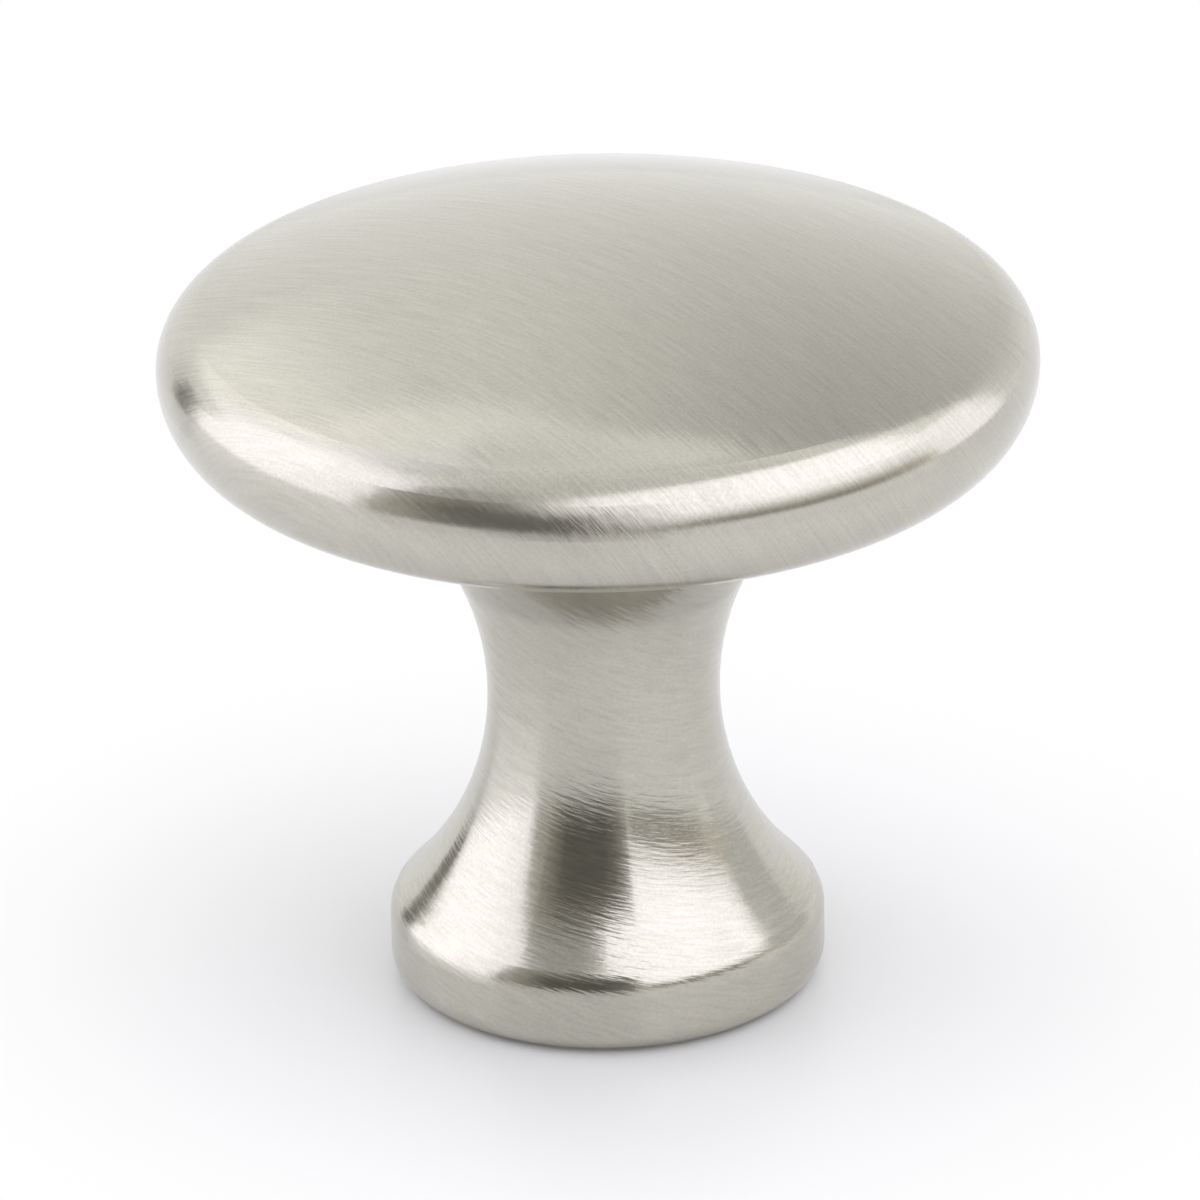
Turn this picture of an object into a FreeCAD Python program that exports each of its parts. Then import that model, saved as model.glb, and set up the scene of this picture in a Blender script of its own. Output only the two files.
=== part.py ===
import FreeCAD, Part
import math
import os

# Driving dimensions, in millimetres and degrees. The knob stands on its seating face at height 0.

# Head
head_diameter = 31.75
projection = 28.575
head_thickness = 7.54
crown_radius = 42.0
rim_width = 1.4
under_rim_radius = 3.0
underside_width = 2.1

# Neck
neck_diameter = 8.45
waist_height = 11.1
throat_radius = 2.0

# Foot
foot_diameter = 15.875
foot_shoulder_height = 2.3
foot_shoulder_radius = 1.2
foot_edge_radius = 0.9

# Tapped hole for a machine screw, drawn at the root of its thread
hole_diameter = 4.2
hole_depth = 12.5
drill_point_angle = 118.0
countersink_diameter = 5.2
countersink_angle = 90.0

# Radii and heights that follow from them
head_radius = head_diameter / 2
neck_radius = neck_diameter / 2
foot_radius = foot_diameter / 2
hole_radius = hole_diameter / 2
countersink_radius = countersink_diameter / 2
underside_height = projection - head_thickness
rim_height = underside_height + under_rim_radius


def point(radius, height):
    return FreeCAD.Vector(radius, 0, height)


# Point at an angle on a circle of the section, counted from the outward radius up to +Z
def on_circle(centre, radius, angle):
    return centre + point(math.cos(angle), math.sin(angle)) * radius


def arc(centre, radius, start_angle, end_angle):
    middle_angle = (start_angle + end_angle) / 2
    start = on_circle(centre, radius, start_angle)
    middle = on_circle(centre, radius, middle_angle)
    end = on_circle(centre, radius, end_angle)
    return Part.Arc(start, middle, end).toShape()


def line(start, end):
    return Part.LineSegment(start, end).toShape()


# Arc that leaves its start along a direction and ends at a point
def arc_along(start, direction, end):
    chord = end - start
    turn = direction.getAngle(chord)
    side = direction - chord * (direction.dot(chord) / chord.dot(chord))
    side.normalize()
    middle = (start + end) * 0.5 + side * (chord.Length / 2 * math.tan(turn / 2))
    return Part.Arc(start, middle, end).toShape()


# Two arcs, tangent to each other and to both directions, with equal tangents at the two ends
def double_arc(start, start_direction, end, end_direction):
    chord = end - start
    spread = 2 * (1 - start_direction.dot(end_direction))
    along = chord.dot(start_direction + end_direction)
    tangent = (math.sqrt(along ** 2 + spread * chord.dot(chord)) - along) / spread
    joint = (start + start_direction * tangent + end - end_direction * tangent) * 0.5
    return [arc_along(start, start_direction, joint), arc_along(end, -end_direction, joint)]


# Shallow crown, tighter shoulder, rounded rim and flat ring underneath
def head_edges():
    crown_edge_radius = head_radius - rim_width
    crown_centre = point(0, projection - crown_radius)
    crown_edge_angle = math.acos(crown_edge_radius / crown_radius)
    crown_edge = on_circle(crown_centre, crown_radius, crown_edge_angle)
    crown_direction = point(math.sin(crown_edge_angle), -math.cos(crown_edge_angle))
    rim_point = point(head_radius, rim_height)
    under_rim_centre = point(head_radius - under_rim_radius, rim_height)
    under_rim_end = on_circle(under_rim_centre, under_rim_radius, -math.pi / 2)
    return [
        arc(crown_centre, crown_radius, math.pi / 2, crown_edge_angle),
        *double_arc(crown_edge, crown_direction, rim_point, point(0, -1)),
        arc(under_rim_centre, under_rim_radius, 0, -math.pi / 2),
        line(under_rim_end, under_rim_end - point(underside_width, 0)),
    ]


# Hollow neck from the underside down to the waist, with a small arc where it leaves the head
def throat_edges():
    outer_radius = head_radius - under_rim_radius - underside_width
    throat_centre = point(outer_radius, underside_height - throat_radius)
    across = outer_radius - neck_radius
    upright = throat_centre.z - waist_height
    hollow = (across ** 2 + upright ** 2 - throat_radius ** 2) / (2 * (across - throat_radius))
    hollow_centre = point(neck_radius + hollow, waist_height)
    angle = math.pi - math.atan2(upright, hollow - across)
    return [
        arc(throat_centre, throat_radius, math.pi / 2, angle),
        arc(hollow_centre, hollow, angle, math.pi),
    ]


# Hollow neck from the waist down to the foot, its shoulder, its straight band and its lower edge
def foot_edges():
    shoulder_centre = point(foot_radius - foot_shoulder_radius, foot_shoulder_height)
    across = shoulder_centre.x - neck_radius
    upright = waist_height - foot_shoulder_height
    spread = across ** 2 + upright ** 2 - foot_shoulder_radius ** 2
    hollow = spread / (2 * (foot_radius - neck_radius))
    hollow_centre = point(neck_radius + hollow, waist_height)
    angle = math.atan2(upright, hollow - across)
    edge_centre = point(foot_radius - foot_edge_radius, foot_edge_radius)
    return [
        arc(hollow_centre, hollow, math.pi, math.pi + angle),
        arc(shoulder_centre, foot_shoulder_radius, angle, 0),
        line(point(foot_radius, foot_shoulder_height), point(foot_radius, foot_edge_radius)),
        arc(edge_centre, foot_edge_radius, 0, -math.pi / 2),
    ]


def revolved(edges):
    section = Part.Face(Part.Wire(edges))
    return section.revolve(FreeCAD.Vector(0, 0, 0), FreeCAD.Vector(0, 0, 1), 360)


def body():
    outline = head_edges() + throat_edges() + foot_edges()
    foot_end = point(foot_radius - foot_edge_radius, 0)
    return revolved(outline + [line(foot_end, point(0, 0)), line(point(0, 0), point(0, projection))])


# Countersunk mouth, straight wall and the cone that the drill leaves
def tapped_hole():
    countersink_depth = (countersink_radius - hole_radius) / math.tan(math.radians(countersink_angle / 2))
    point_depth = hole_radius / math.tan(math.radians(drill_point_angle / 2))
    corners = [
        point(0, 0),
        point(countersink_radius, 0),
        point(hole_radius, countersink_depth),
        point(hole_radius, hole_depth),
        point(0, hole_depth + point_depth),
    ]
    return revolved([line(start, end) for start, end in zip(corners, corners[1:] + corners[:1])])


os.makedirs("parts", exist_ok=True)
knob = body().cut(tapped_hole())
knob.exportStep("parts/knob.step")
print(f"knob: {knob.Volume:.1f} mm3, valid {knob.isValid()}")
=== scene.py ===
import math

import bpy
from mathutils import Matrix, Vector


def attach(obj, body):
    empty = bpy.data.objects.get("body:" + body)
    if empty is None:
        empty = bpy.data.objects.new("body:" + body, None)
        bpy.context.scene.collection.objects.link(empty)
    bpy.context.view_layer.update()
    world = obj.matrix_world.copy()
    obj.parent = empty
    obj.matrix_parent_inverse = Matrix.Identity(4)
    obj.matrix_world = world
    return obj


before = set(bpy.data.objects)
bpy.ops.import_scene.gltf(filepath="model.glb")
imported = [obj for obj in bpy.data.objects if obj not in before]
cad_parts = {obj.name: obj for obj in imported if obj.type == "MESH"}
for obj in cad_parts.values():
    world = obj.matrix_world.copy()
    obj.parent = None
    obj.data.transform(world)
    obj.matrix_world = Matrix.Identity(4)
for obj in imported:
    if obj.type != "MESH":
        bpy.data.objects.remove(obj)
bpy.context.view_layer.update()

scene = bpy.context.scene
print("frame loaded:", ", ".join(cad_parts))


# Shader maths: an expression on these values adds its Math nodes
class Value:
    def __init__(self, tree, socket):
        self.tree, self.socket = tree, socket

    def math(self, operation, *others):
        return self.tree.node("ShaderNodeMath", {"operation": operation}, self, *others)

    def __add__(self, other):
        return self.math("ADD", other)

    def __sub__(self, other):
        return self.math("SUBTRACT", other)

    def __mul__(self, other):
        return self.math("MULTIPLY", other)

    def __truediv__(self, other):
        return self.math("DIVIDE", other)

    def __pow__(self, other):
        return self.math("POWER", other)

    def __rsub__(self, other):
        return self.tree.node("ShaderNodeMath", {"operation": "SUBTRACT"}, other, self)

    __radd__, __rmul__ = __add__, __mul__


class Shader:
    def __init__(self, owner):
        owner.use_nodes = True
        self.nodes, self.links = owner.node_tree.nodes, owner.node_tree.links
        self.nodes.clear()

    # Adds a node: its settings first, then its inputs in order or by name, as values or links
    def node(self, kind, settings=None, *inputs, output=0, **named):
        made = self.nodes.new(kind)
        for name, value in (settings or {}).items():
            setattr(made, name, value)
        pairs = list(enumerate(inputs)) + [(name.replace("_", " "), value) for name, value in named.items()]
        for name, value in pairs:
            if isinstance(value, Value):
                self.links.new(value.socket, made.inputs[name])
            else:
                made.inputs[name].default_value = value
        return Value(self, made.outputs[output]) if made.outputs else None

    # Smooth step from 0 to 1 between two values
    def step(self, value, low, high):
        smooth = {"interpolation_type": "SMOOTHSTEP"}
        return self.node("ShaderNodeMapRange", smooth, value, low, high, 0.0, 1.0)

    def vector(self, x, y, z):
        return self.node("ShaderNodeCombineXYZ", None, x, y, z)

    # A vector's three parts, as numbers
    def parts(self, vector):
        made = self.nodes.new("ShaderNodeSeparateXYZ")
        self.links.new(vector.socket, made.inputs[0])
        return [Value(self, output) for output in made.outputs]

    # Object coordinates, in metres, as a vector
    def place(self):
        return self.node("ShaderNodeTexCoord", output=3)

    def noise(self, vector, scale, detail):
        return self.node("ShaderNodeTexNoise", {"noise_dimensions": "3D"}, Vector=vector,
                         Scale=scale, Detail=detail)

    # Noise drawn out into strokes, fine across and long along
    def strokes(self, across, along, size, detail):
        fine, long = size
        return self.noise(self.vector(across / fine, along / long, 0.0), 1.0, detail)

    # A metal's colour made lighter or darker by a level, without a change of hue
    def shade(self, colour, level):
        return self.node("ShaderNodeVectorMath", {"operation": "SCALE"}, colour, Scale=level)

    def surface(self, socket):
        self.node("ShaderNodeOutputMaterial", None, socket)

    def metal(self, colour, roughness, **more):
        self.surface(self.node("ShaderNodeBsdfPrincipled", None, Base_Color=colour, Metallic=1.0,
                               Roughness=roughness, **more))


# Camera at the photograph's viewing angle, a long lens tilted a little about its own axis
camera = {
    "distance": 0.450,
    "elevation": 25.0,
    "about": (0.0, 0.0, 0.012),
    "aim": (-0.000079, 0.0, 0.01453),
    "roll": -1.010,
    "lens": 371.92,
    "sensor": 36.0,
    "clip": (0.01, 50),
}


def addCamera(c):
    tilt = math.radians(c["elevation"])
    place = Vector(c["about"]) + c["distance"] * Vector((0, -math.cos(tilt), math.sin(tilt)))
    data = bpy.data.cameras.new("photoCamera")
    data.lens, data.sensor_width = c["lens"], c["sensor"]
    data.clip_start, data.clip_end = c["clip"]
    made = bpy.data.objects.new("photoCamera", data)
    scene.collection.objects.link(made)
    turn = (Vector(c["aim"]) - place).to_track_quat("-Z", "Y").to_matrix().to_4x4()
    made.matrix_world = Matrix.Translation(place) @ turn @ Matrix.Rotation(math.radians(c["roll"]), 4, "Z")
    scene.camera = made


addCamera(camera)
print("camera placed")


# Satin nickel: brushed in wide arcs over the head, and round the neck and foot
nickel = {
    "colour": (0.515, 0.50, 0.435),
    "roughness": 0.18,
    "crownRoughness": 0.10,
    "roughnessChange": 0.08,      # between one stroke and the next
    "grain": 0.00011,
    "grainTone": 0.22,
    # Head: strokes are (fine, long), and a tone is how far they lighten and darken
    "headFrom": (0.0212, 0.0218),
    "sweepCentre": (-0.026, -0.028),
    "sweepRise": 0.7,
    "headStroke": (0.00011, 0.0025),
    "headDepth": 2.2e-6,
    "headTone": 0.26,
    "broadStroke": (0.0006, 0.006),
    "broadTone": 0.07,
    # Rim: the share of its brushing at the left, in front and at the right, and where each comes in
    "rimFrom": (0.0138, 0.0152),
    "rimStroke": (0.00002, 0.0018),
    "rimDepth": 6.2e-6,
    "rimShare": (0.2, 1.0, 0.15),
    "rimFront": (-0.006, 0.0),
    "rimRight": (0.0005, 0.006),
    "burr": (0.00004, 3.6e-6),    # width and height of the small ridges that the brush leaves
    "burrWander": 1.5,
    # Neck and foot
    "neckStroke": (0.00016, 0.0011),
    "neckSlant": 0.35,
    "neckDepth": 1.3e-5,
    "neckTone": 0.34,
    # Throat: painted shade under the head, the heights between which it is darker, and the radius where
    # that ends
    "paintedShadeFrom": (0.0155, 0.0162),
    "paintedShadeTo": (0.0225, 0.0240),
    "paintedShadeEdge": (0.0085, 0.0100),
    "paintedShadeAmount": 0.15,
}


def satinNickel(n):
    material = bpy.data.materials.new("satinNickel")
    shader = Shader(material)
    place = shader.place()
    x, y, z = shader.parts(place)
    radius = (x * x + y * y) ** 0.5
    onHead = shader.step(z, *n["headFrom"])
    onRim = shader.step(radius, *n["rimFrom"])

    # On the head the strokes are arcs about a far point, and they slant where they cross the rim
    centreX, centreY = n["sweepCentre"]
    fromX, fromY = x - centreX, y - centreY
    sweep = (fromX * fromX + fromY * fromY) ** 0.5 + z * n["sweepRise"]
    turn = fromY.math("ARCTAN2", fromX) * math.hypot(centreX, centreY) + z
    head = shader.strokes(sweep, turn, n["headStroke"], 1.0)
    rim = shader.strokes(sweep, turn, n["rimStroke"], 1.0)
    broad = shader.strokes(sweep, turn, n["broadStroke"], 2.0) - 0.5

    # On the neck and foot they are short and level, and slant down to the right in front
    fine, long = n["neckStroke"]
    across = (z - radius + x * n["neckSlant"]) / fine
    neck = shader.noise(shader.vector(across, x / long, y / long), 1.0, 3.0)

    # The brushing bites deepest on the rim in front
    atLeft, inFront, atRight = n["rimShare"]
    share = (atLeft + shader.step(x, *n["rimFront"]) * (inFront - atLeft)
             + shader.step(x, *n["rimRight"]) * (atRight - inFront))
    burrWidth, burrHeight = n["burr"]
    burr = (sweep / burrWidth + head * n["burrWander"]).math("FRACT") * burrHeight
    headHeight = head * n["headDepth"] + onRim * share * (rim * n["rimDepth"] - burr)
    neckHeight = neck * n["neckDepth"]
    height = neckHeight + onHead * (headHeight - neckHeight)
    normal = shader.node("ShaderNodeBump", None, Strength=1.0, Distance=1.0, Height=height)

    # Each stroke is a little lighter or darker than the next, over an even fine grain
    grain = shader.noise(place, 1 / n["grain"], 1.0) - 0.5
    headTone = (head - 0.5) * n["headTone"] + broad * n["broadTone"]
    neckTone = (neck - 0.5) * n["neckTone"]
    level = 1 + grain * n["grainTone"] + neckTone + onHead * (headTone - neckTone)

    # Painted shade: the throat under the head is made a little darker in its colour, standing in for the
    # shade and dark reflection there
    inPaintedShade = shader.step(z, *n["paintedShadeFrom"]) * (1 - shader.step(radius, *n["paintedShadeEdge"]))
    level = level * (1 - inPaintedShade * (1 - shader.step(z, *n["paintedShadeTo"])) * n["paintedShadeAmount"])

    # The crown is smoother than the rim and the neck
    stroke = neck + onHead * (head - neck) - 0.5
    smoother = onHead * (1 - onRim) * (n["crownRoughness"] - n["roughness"])
    roughness = n["roughness"] + smoother + stroke * n["roughnessChange"]
    shader.metal(shader.shade(n["colour"], level), roughness, Normal=normal)
    return material


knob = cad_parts["knob"]
knob.data.materials.clear()
knob.data.materials.append(satinNickel(nickel))
print("knob finished")


# Thread in the tapped hole: 8-32, one ridge wound up the plain wall
thread = {
    "pitch": 0.000794,
    "turns": 13,
    "steps": 48,
    "start": 0.00085,
    "root": (0.00211, 0.000345),      # radius and half the ridge's height there
    "crest": (0.00170, 0.000115),
    "smooth": 25,
    "colour": (0.56, 0.56, 0.55),
    "roughness": 0.34,
    "roughnessChange": 0.2,
    "marks": (0.00008, 0.0012),
    "tone": 0.25,
}


# Tapped metal, bare and turned, with marks that run round the hole
def tappedMetal(t):
    material = bpy.data.materials.new("tappedMetal")
    shader = Shader(material)
    x, y, z = shader.parts(shader.place())
    radius = (x * x + y * y) ** 0.5
    fine, long = t["marks"]
    mark = shader.noise(shader.vector((z + radius) / fine, x / long, y / long), 1.0, 2.0) - 0.5
    roughness = t["roughness"] + mark * t["roughnessChange"]
    shader.metal(shader.shade(t["colour"], 1 + mark * t["tone"]), roughness)
    return material


def addThread(t):
    (rootRadius, rootHalf), (crestRadius, crestHalf) = t["root"], t["crest"]
    middle = (rootRadius + crestRadius) / 2
    bpy.ops.mesh.primitive_plane_add(size=1, location=(middle, 0, t["start"]),
                                     rotation=(math.radians(90), 0, 0))
    made = bpy.context.object
    made.name = "thread"
    made.scale = (rootRadius - crestRadius, 2 * rootHalf, 1)
    bpy.ops.object.transform_apply(location=True, rotation=True, scale=True)

    # The upright plane is narrowed at the crest, so that it is the ridge's section
    bpy.ops.object.mode_set(mode="EDIT")
    bpy.ops.mesh.select_mode(type="VERT")
    bpy.ops.mesh.select_all(action="DESELECT")
    bpy.ops.object.mode_set(mode="OBJECT")
    for vertex in made.data.vertices:
        vertex.select = vertex.co.x < middle
    bpy.ops.object.mode_set(mode="EDIT")
    bpy.ops.transform.resize(value=(1, 1, crestHalf / rootHalf),
                             center_override=(crestRadius, 0, t["start"]))
    bpy.ops.object.mode_set(mode="OBJECT")

    # Wound up the hole, then closed at both ends
    winding = made.modifiers.new("winding", "SCREW")
    winding.axis, winding.angle = "Z", math.radians(360)
    winding.screw_offset, winding.iterations = t["pitch"], t["turns"]
    winding.steps = winding.render_steps = t["steps"]
    winding.use_merge_vertices = False
    bpy.ops.object.modifier_apply(modifier="winding")
    bpy.ops.object.mode_set(mode="EDIT")
    bpy.ops.mesh.select_all(action="SELECT")
    bpy.ops.mesh.fill_holes(sides=4)
    bpy.ops.mesh.select_all(action="SELECT")
    bpy.ops.mesh.normals_make_consistent(inside=False)
    bpy.ops.object.mode_set(mode="OBJECT")
    bpy.ops.object.shade_smooth_by_angle(angle=math.radians(t["smooth"]))
    made.data.materials.clear()
    made.data.materials.append(tappedMetal(t))
    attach(made, "root")


bpy.ops.object.select_all(action="DESELECT")
addThread(thread)
print("thread wound")


# Pale floor. It turns white away from the knob, and nearer to it for the camera than for the metal
floor = {
    "size": 12.0,
    "drop": 0.00005,
    "openUnder": 0.0070,
    "colour": (0.79, 0.79, 0.79),
    "roughness": 0.34,
    "whiteForCamera": (0.009, 0.030),
    "whiteForMetal": (0.4, 1.2),
}


def addFloor(c):
    bpy.ops.mesh.primitive_plane_add(size=c["size"])
    made = bpy.context.object
    made.name = "floor"
    made.data.transform(Matrix.Translation((0, 0, -c["drop"])))
    material = bpy.data.materials.new("paleFloor")
    shader = Shader(material)
    distance = shader.node("ShaderNodeVectorMath", {"operation": "LENGTH"}, shader.place(), output=1)
    path = shader.nodes.new("ShaderNodeLightPath")
    seen, mirrored, through = (Value(shader, path.outputs[f"Is {ray} Ray"])
                               for ray in ("Camera", "Glossy", "Transmission"))
    white = (shader.step(distance, *c["whiteForCamera"]) * seen).math(
        "MAXIMUM", shader.step(distance, *c["whiteForMetal"]) * mirrored.math("MAXIMUM", through))
    pale = shader.node("ShaderNodeBsdfPrincipled", None, Base_Color=(*c["colour"], 1),
                       Roughness=c["roughness"])
    shine = shader.node("ShaderNodeEmission", None, (1, 1, 1, 1), 1.0)
    top = shader.node("ShaderNodeMixShader", None, white, pale, shine)

    # The floor isn't there from below or under the foot, so that the underside can be seen in light
    below = shader.node("ShaderNodeNewGeometry", output=6)
    hidden = below.math("MAXIMUM", distance.math("LESS_THAN", c["openUnder"]))
    clear = shader.node("ShaderNodeBsdfTransparent")
    shader.surface(shader.node("ShaderNodeMixShader", None, hidden, top, clear))
    made.data.materials.append(material)


# Pale room, a little lighter near the horizon at the left, and behind
room = {
    "level": 0.92,
    "horizon": 0.12,
    "behind": (0.35, 0.55),
    "behindSlant": 0.5,
    "behindLevel": 0.19,
}


def addRoom(c):
    world = bpy.data.worlds.new("paleRoom")
    scene.world = world
    shader = Shader(world)
    x, y, z = shader.parts(shader.node("ShaderNodeTexCoord"))
    behind = shader.step(y + x * c["behindSlant"], *c["behind"]) * c["behindLevel"]
    level = c["level"] + (1 - z) * (1 - x) * c["horizon"] + behind
    background = shader.node("ShaderNodeBackground", None, (1, 1, 1, 1), level)
    shader.node("ShaderNodeOutputWorld", None, background)


def towards(azimuth, elevation):
    a, e = math.radians(azimuth), math.radians(elevation)
    return Vector((math.sin(a) * math.cos(e), -math.cos(a) * math.cos(e), math.sin(e)))


# Share of a rectangle seen in a direction, with soft edges, all in degrees
def patch(shader, direction, azimuth, elevation, halfWidth, halfHeight, softness):
    centre = towards(azimuth, elevation)
    right = towards(azimuth + 90, 0)
    up = centre.cross(right) * -1
    ahead, sideways, upwards = (
        shader.node("ShaderNodeVectorMath", {"operation": "DOT_PRODUCT"}, direction, tuple(axis), output=1)
        for axis in (centre, right, up))
    ahead = ahead.math("MAXIMUM", 0.01)
    mask = 1
    for off, half in ((sideways, halfWidth), (upwards, halfHeight)):
        low, high = (math.tan(math.radians(half + side * softness)) for side in (-1, 1))
        mask = (1 - shader.step((off / ahead).math("ABSOLUTE"), low, high)) * mask
    return mask


# A card's level in a direction. A change is a number times its factors, and a factor is a side's
# own value, a step over it between two values, or a patch
def cardLevel(shader, direction, level, changes):
    x, y, z = shader.parts(direction)
    sides = {"left": x * -1, "right": x, "front": y * -1, "back": y, "up": z, "upLeft": z - x * lineTilt}
    for change, *factors in changes:
        for factor in factors:
            if isinstance(factor, str):
                change = sides[factor] * change
            elif factor[0] == "patch":
                change = patch(shader, direction, *factor[1:]) * change
            else:
                change = shader.step(sides[factor[0]], *factor[1:]) * change
        level = change + level
    return level


# A shining card that faces the knob. The camera never sees it, and only softboxes light the floor
def addCard(name, azimuth, distance, size, level, changes=(), elevation=0, rise=0.0, tint=(1, 1, 1),
            lights=False):
    bpy.ops.mesh.primitive_plane_add(size=1)
    made = bpy.context.object
    made.name = name
    facing = towards(azimuth, elevation)
    place = facing * distance + Vector((0, 0, rise))
    turn = facing.to_track_quat("Z", "Y").to_matrix().to_4x4()
    made.data.transform(Matrix.Translation(place) @ turn @ Matrix.Diagonal((*size, 1, 1)))
    material = bpy.data.materials.new(name)
    shader = Shader(material)
    direction = shader.node("ShaderNodeVectorMath", {"operation": "NORMALIZE"}, shader.place())
    shine = cardLevel(shader, direction, level, changes)
    shader.surface(shader.node("ShaderNodeEmission", None, (*tint, 1), shine))
    made.data.materials.append(material)
    made.visible_camera = False
    made.visible_diffuse = made.visible_shadow = lights


# Azimuth is counted from the front, to the right, and sizes are width and height in metres
cool, warm = (1.0, 0.99, 1.065), (1.05, 1.0, 0.90)
lineTilt = 0.43    # of the line that crosses the card behind
leftHalf, barTop, barRight = ("left", -0.35, 0.20), ("up", 0.22, 0.34), ("back", -0.42, -0.05)
cards = {
    # Tall softbox at the left, dimmer at its top and towards the front
    "leftSoftbox": {
        "azimuth": -92.2, "distance": 0.87, "size": (1.034, 1.90), "rise": 0.95,
        "tint": cool, "lights": True, "level": 1.94,
        "changes": [(-0.9, ("up", 0.74, 0.99)), (-0.25, ("front", -0.10, 0.40))],
    },
    # Softbox over the right, dimmer at its lower edge
    "rightSoftbox": {
        "azimuth": 57, "elevation": 45.5, "distance": 1.0, "size": (1.46, 1.10),
        "tint": cool, "lights": True, "level": 1.2,
        "changes": [(0.72, ("up", 0.25, 0.56))],
    },
    # Light wall behind at the left
    "leftBounce": {
        "azimuth": -142.5, "distance": 1.4, "size": (1.02, 2.8), "rise": 2.10,
        "tint": cool, "level": 1.28,
        "changes": [(0.32, ("left", 0.15, 0.50)), (-0.35, ("up", 0.80, 0.95))],
    },
    # The dim side of the room, where the camera stands, darkest in the middle
    "frontCard": {
        "azimuth": -20.0, "distance": 0.15, "size": (0.219, 0.153), "rise": 0.0885,
        "tint": warm, "level": 0.52,
        "changes": [(-0.40, ("patch", -15, 21, 26, 24, 12))],
    },
    # The same side higher up, lighter overhead and towards the right softbox
    "frontRoom": {
        "azimuth": -24, "distance": 1.3, "size": (2.0, 4.0), "rise": 2.0, "level": 0.52,
        "changes": [(0.25, ("up", 0.86, 0.96)), (0.4, ("right", -0.16, 0.02), ("up", 0.70, 0.80))],
    },
    # Grey surface behind, which the crown shows: lighter at the left, with a line across it
    "backCard": {
        "azimuth": 175, "distance": 0.8, "size": (1.66, 1.35), "rise": 0.675, "level": 1.0675,
        "changes": [
            (-0.55, "up"), (0.012, leftHalf), (0.48, "up", leftHalf),
            (0.45, ("left", 0.18, 0.42), ("up", 0.36, 0.48)),
            (0.23, ("upLeft", 0.850, 0.866), leftHalf),
        ],
    },
    # Grey wall at the right
    "rightWall": {
        "azimuth": 112, "distance": 1.2, "size": (0.68, 0.76), "rise": 0.38, "level": 0.76,
    },
    # Dark bar under the right softbox, lighter at its top and at the right
    "rightBar": {
        "azimuth": 60, "distance": 0.15, "size": (0.252, 0.035), "rise": 0.0395,
        "tint": warm, "level": 0.25,
        "changes": [(0.65, barTop), (0.4225, barRight), (-0.4225, barTop, barRight)],
    },
    # Dark edge between the left softbox and the light wall
    "leftStrip": {
        "azimuth": -130, "distance": 0.25, "size": (0.052, 0.09), "rise": 0.045,
        "tint": warm, "level": 0.2,
    },
    # Small light close to the head, which only its rim shows
    "rightGlow": {
        "azimuth": 84.9, "distance": 0.0281, "size": (0.0135, 0.014), "rise": 0.0315,
        "tint": cool, "level": 1.65,
        "changes": [(-0.3, ("back", 0.0, 0.12))],
    },
}

bpy.ops.object.select_all(action="DESELECT")
addFloor(floor)
addRoom(room)
for name, card in cards.items():
    addCard(name, **card)
print("studio lit")

scene.view_settings.view_transform = "Standard"
